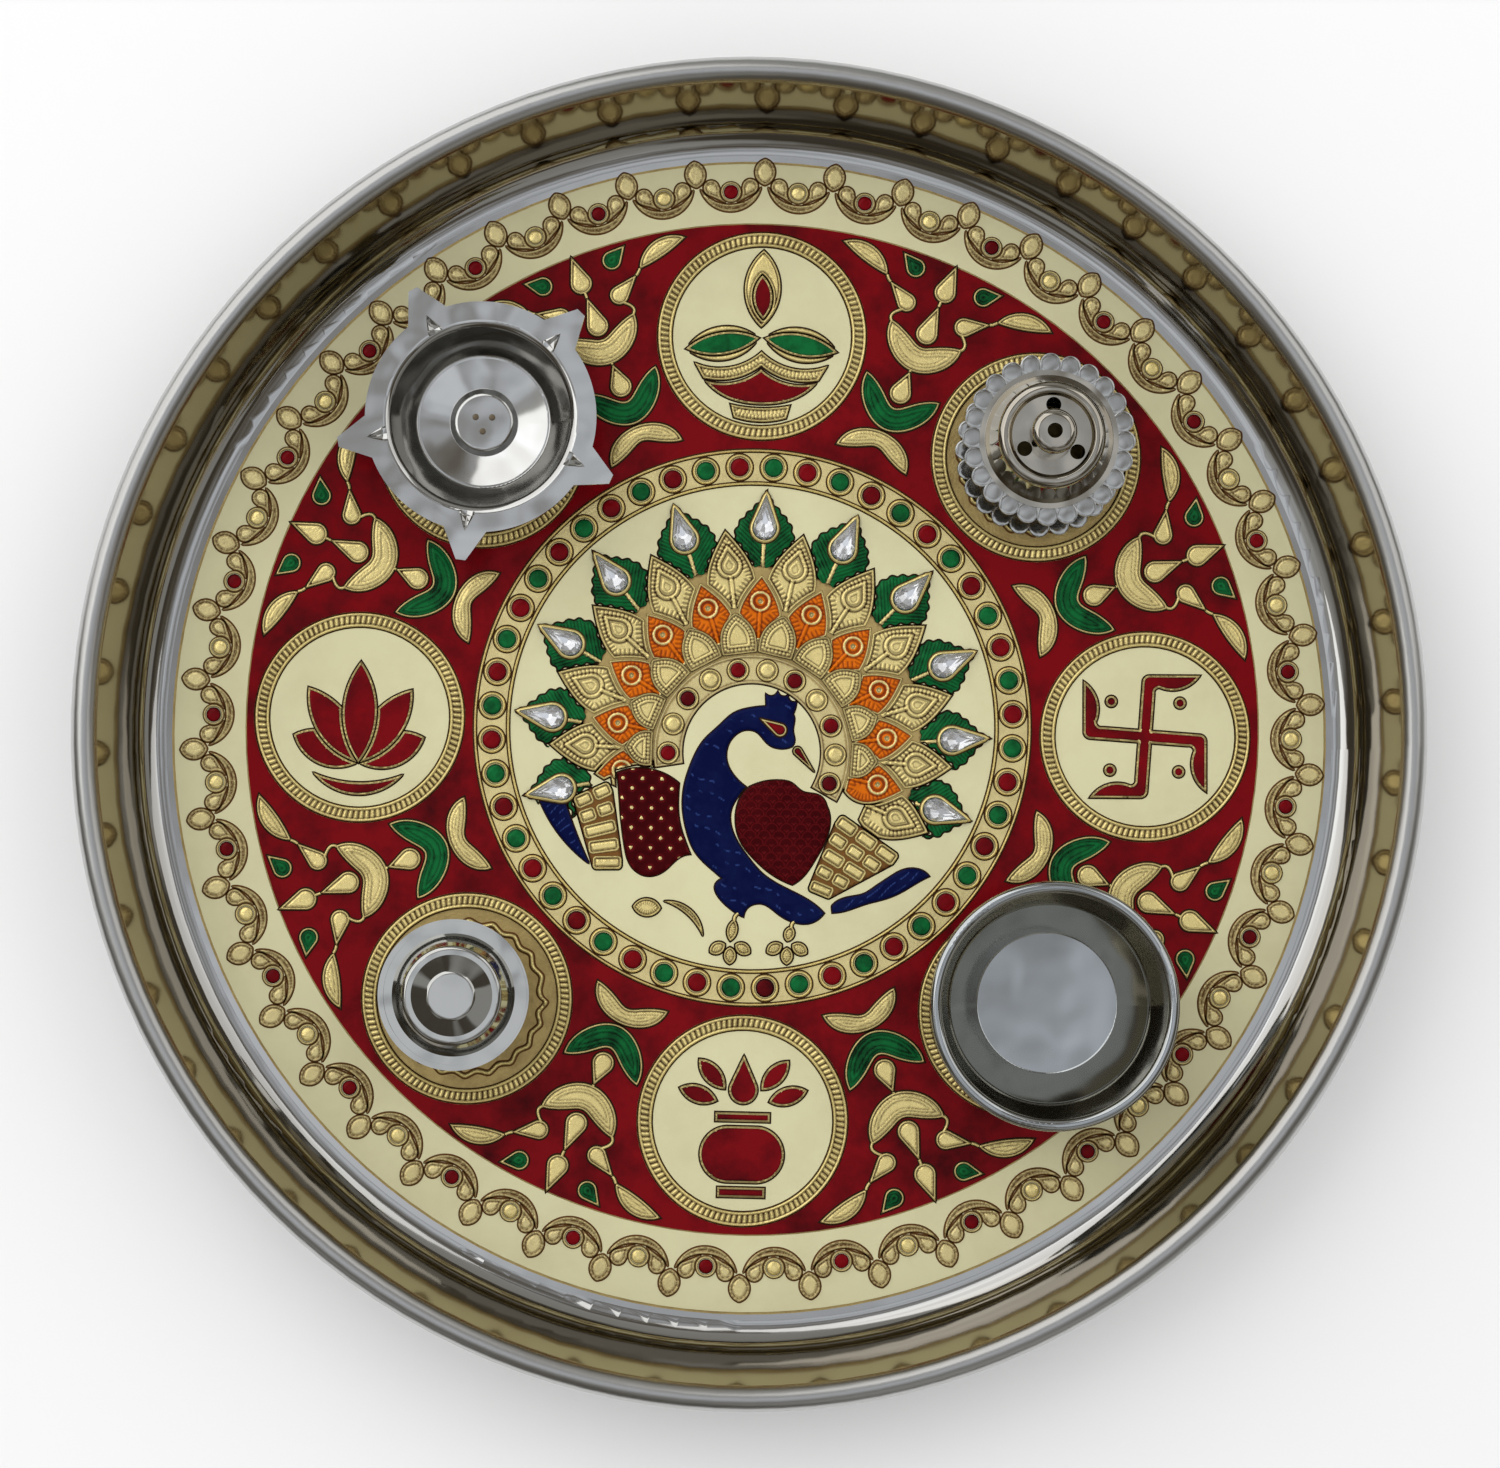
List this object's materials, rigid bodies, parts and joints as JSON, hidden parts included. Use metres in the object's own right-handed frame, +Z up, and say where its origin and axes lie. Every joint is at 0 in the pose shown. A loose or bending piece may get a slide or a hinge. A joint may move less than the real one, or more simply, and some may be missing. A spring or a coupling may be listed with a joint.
{
  "type": "puja thali",
  "caption": "Round steel puja thali with a rolled rim and an enamelled peacock sheet on its floor, carrying a lamp, incense stand, lidded vermilion box and small bowl.",
  "frame": {"origin": "centre of the tray's flat underside", "axes": "+Z up out of the tray, +Y towards the medallion with the lamp figure, +X towards the four-armed mark"},
  "size_m": [0.306, 0.306, 0.0439],
  "materials": {
    "polished_steel": "bright spun stainless steel",
    "gold_foil": "embossed gold-coloured foil",
    "cream_enamel": "cream lacquer",
    "crimson_enamel": "clear crimson lacquer over foil",
    "emerald_enamel": "clear green lacquer over foil",
    "amber_enamel": "clear amber lacquer over foil",
    "navy_enamel": "clear navy lacquer over foil",
    "clear_stone": "faceted clear stone"
  },
  "bodies": {
    "tray": {"tray": "polished_steel", "embossed_sheet": "gold_foil", "bead_band": "gold_foil", "band_lines": "gold_foil", "bead_rings": "gold_foil", "rope_rings": "gold_foil", "wavy_rings": "gold_foil", "lamp_figure_flame": "gold_foil", "lamp_figure_rims": "gold_foil", "lamp_figure_bands": "gold_foil", "spray_bows": "gold_foil", "spray_cups": "gold_foil", "spray_drops": "gold_foil", "spray_leaves": "gold_foil", "border_scrolls": "gold_foil", "border_curls": "gold_foil", "border_rings": "gold_foil", "border_gold_beads": "gold_foil", "border_buds": "gold_foil", "inner_feathers": "gold_foil", "gold_feathers": "gold_foil", "arch_band": "gold_foil", "arch_rings": "gold_foil", "arch_gold_beads": "gold_foil", "wing_feathers": "gold_foil", "peacock_legs": "gold_foil", "cream_border": "cream_enamel", "cream_centre": "cream_enamel", "cream_faces": "cream_enamel", "red_field": "crimson_enamel", "red_beads": "crimson_enamel", "border_red_beads": "crimson_enamel", "arch_red_beads": "crimson_enamel", "lamp_figure_red": "crimson_enamel", "four_armed_mark": "crimson_enamel", "lotus_mark": "crimson_enamel", "pot_mark": "crimson_enamel", "peacock_wings": "crimson_enamel", "peacock_eye": "crimson_enamel", "peacock_beak": "crimson_enamel", "green_beads": "emerald_enamel", "green_cups": "emerald_enamel", "green_drops": "emerald_enamel", "green_feathers": "emerald_enamel", "lamp_figure_leaves": "emerald_enamel", "amber_feathers": "amber_enamel", "peacock_body": "navy_enamel", "peacock_tail": "navy_enamel", "stones": "clear_stone"},
    "lamp": {"lamp_bowl": "polished_steel", "lamp_foot": "polished_steel"},
    "incense_stand": {"stand_foot": "polished_steel", "stand_collar": "polished_steel", "stand_dome": "polished_steel"},
    "kumkum_box": {"kumkum_cup": "polished_steel"},
    "kumkum_cover": {"kumkum_lid": "polished_steel"},
    "small_bowl": {"katori": "polished_steel"}
  },
  "joints": [
    {"name": "lamp_lift", "type": "slide", "parent": "tray", "child": "lamp", "axis": [0, 0, 1], "range_m": [0, 0.06]},
    {"name": "stand_lift", "type": "slide", "parent": "tray", "child": "incense_stand", "axis": [0, 0, 1], "range_m": [0, 0.06]},
    {"name": "kumkum_lift", "type": "slide", "parent": "tray", "child": "kumkum_box", "axis": [0, 0, 1], "range_m": [0, 0.06]},
    {"name": "kumkum_lid_lift", "type": "slide", "parent": "kumkum_box", "child": "kumkum_cover", "axis": [0, 0, 1], "range_m": [0, 0.03]},
    {"name": "katori_lift", "type": "slide", "parent": "tray", "child": "small_bowl", "axis": [0, 0, 1], "range_m": [0, 0.06]}
  ]
}
